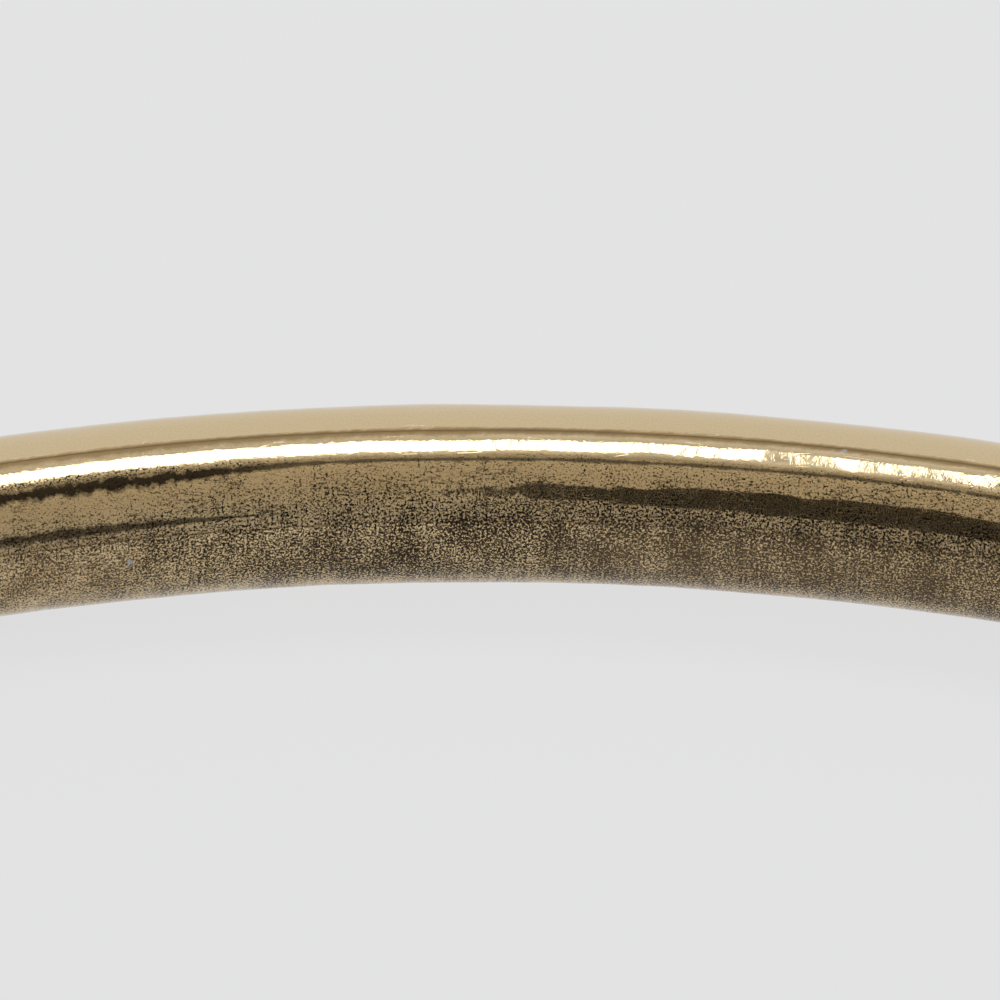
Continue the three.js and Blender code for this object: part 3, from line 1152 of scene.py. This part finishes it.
# %% [markdown]
# ## Light
#
# Polished metal has no colour of its own to show: it shows the room. One long softbox
# hangs over the ring, along X. Its mirror image is the bright line along the top of the
# tube. The softbox is three lights end to end, since the line is full at one end and
# fades at the other. Each is set by its radiance, so that its length doesn't change how
# bright it looks. Reflections from the far arc of the ring are what matters most, so
# every angle is counted there: 0 degrees is level toward the front, 90 is straight up.


# %% Softbox overhead
def aim(thing, place, target):
    thing.location = place
    thing.rotation_mode = "QUATERNION"
    thing.rotation_quaternion = (Vector(target) - Vector(place)).to_track_quat("-Z", "Y")


far_arc = Vector((0, ring_radius, middle_z))
strip_distance = 0.55
strip_rise = math.radians(111.5)
strip_spread = math.radians(9.2)  # half of the angle that its width fills


def strip_light(name, start, end, radiance):
    """A long overhead softbox from start to end along X, seen from the far arc."""
    data = bpy.data.lights.new(name, "AREA")
    data.shape = "RECTANGLE"
    data.size = end - start
    data.size_y = 2 * strip_distance * math.tan(strip_spread)
    data.energy = radiance * math.pi * data.size * data.size_y
    light = new_object(name, data)
    sideways = Vector(((start + end) / 2, 0, 0))
    way = Vector((0, -math.cos(strip_rise), math.sin(strip_rise)))
    aim(light, far_arc + way * strip_distance + sideways, far_arc + sideways)
    light.visible_camera = False


strip_light("overhead_strip", 0.004, 0.70, 3.6)
strip_light("overhead_strip_end", -0.0055, 0.004, 1.4)
strip_light("overhead_strip_tail", -0.70, -0.0055, 0.18)
print("three softboxes in a line")

# %% [markdown]
# The walls of the room are the world. Their brightness depends only on how high one
# looks: a middle grey in front and overhead, a soft glow just before the softbox, and a
# brighter wall behind the ring. The outside of the tube mirrors that wall.

# %% Walls of the room
wall_front, wall_overhead = 0.52, 0.40
wall_behind_low, wall_behind_high = 0.52, 0.78
wall_behind_from = 110.0
glow_end, glow_level = 102.5, 0.45


def studio_world():
    world = bpy.data.worlds.new("studio")
    bpy.context.scene.world = world
    world.use_nodes = True
    world.node_tree.nodes.clear()
    nodes = Nodes(world.node_tree)
    way = nodes.add("ShaderNodeTexCoord").outputs["Generated"]
    parts = nodes.add("ShaderNodeSeparateXYZ", {"Vector": way}).outputs
    rise = nodes.maths("ARCTAN2", parts["Z"], nodes.times(parts["Y"], -1.0))
    degrees = nodes.times(rise, 180 / math.pi)
    ahead = nodes.step(degrees, 84, 96, wall_front, wall_overhead)
    behind = nodes.step(degrees, 116, 134, wall_behind_low, wall_behind_high)
    is_behind = nodes.maths("GREATER_THAN", degrees, wall_behind_from)
    walls = nodes.add("ShaderNodeMix", {0: is_behind, 2: ahead, 3: behind}).outputs[0]
    glow = nodes.step(degrees, 91, glow_end, 0.0, glow_level)
    glow = nodes.times(glow, nodes.maths("LESS_THAN", degrees, glow_end))
    background = nodes.add("ShaderNodeBackground", {"Color": nodes.plus(walls, glow)})
    output = nodes.add("ShaderNodeOutputWorld")
    nodes.link(background.outputs[0], output.inputs["Surface"])


studio_world()
print("world of plain grey walls")

# %% [markdown]
# Polished metal shows the dark things in front of it too. A round black card stands where
# the viewer would be, wide enough for a lens and its hood from close by. Its mirror image
# is the dark band on the wrist side. Only reflections see the card.

# %% Lens card
card_distance = 0.45
card_reach = math.radians(14.9)
card_turn = math.radians(4.8)
card_rise = math.radians(39.1)
card_sides = 64


def make_card():
    turns = np.linspace(0, 2 * math.pi, card_sides, endpoint=False)
    size = card_distance * math.tan(card_reach)
    ring = np.column_stack([size * np.cos(turns), size * np.sin(turns)]).tolist()
    card, _ = flat_sheet("lens_card", ring, "card_black", (0.01, 0.01, 0.01, 1), 0.9)
    way = Vector((-math.sin(card_turn), -math.cos(card_turn), math.tan(card_rise))).normalized()
    aim(card, far_arc + way * card_distance, far_arc)
    card.visible_camera = False
    card.visible_shadow = False


make_card()
print("lens card", round(2000 * card_distance * math.tan(card_reach)), "mm wide")

# %% [markdown]
# ## Camera
#
# The camera looks down at the far arc of the ring from about 40 degrees, close enough
# that 14 mm of it fill the view, and it is rolled a little so that the arc dips to the
# right. A long lens from 28 cm keeps the perspective gentle. Its focal length comes from
# the distance and the width of the view.

# %% Camera
camera_rise = math.radians(40.5)
camera_roll = math.radians(4.59)
camera_distance = 0.28
view_width = 13.72 * MM
view_drop = 0.093 * MM
view_middle = -3.5 * MM  # X of the point on the ring that the camera looks at
sensor_width = 36.0


def make_camera():
    data = bpy.data.cameras.new("camera")
    data.sensor_width = sensor_width
    data.lens = sensor_width * camera_distance / view_width
    data.clip_start = 0.01
    data.clip_end = 20.0
    camera = new_object("camera", data)
    forward = Vector((0, math.cos(camera_rise), -math.sin(camera_rise)))
    flat_right = Vector((1, 0, 0))
    flat_up = flat_right.cross(forward)
    right = flat_right * math.cos(camera_roll) + flat_up * math.sin(camera_roll)
    up = flat_up * math.cos(camera_roll) - flat_right * math.sin(camera_roll)
    target = Vector((view_middle, math.sqrt(ring_radius**2 - view_middle**2), middle_z))
    place = target - up * view_drop - forward * camera_distance
    turn = Matrix((right, up, -forward)).transposed()
    camera.matrix_world = Matrix.Translation(place) @ turn.to_4x4()
    bpy.context.scene.camera = camera
    print("camera with a", round(data.lens), "mm lens")


make_camera()
bpy.context.scene.view_settings.view_transform = "Standard"
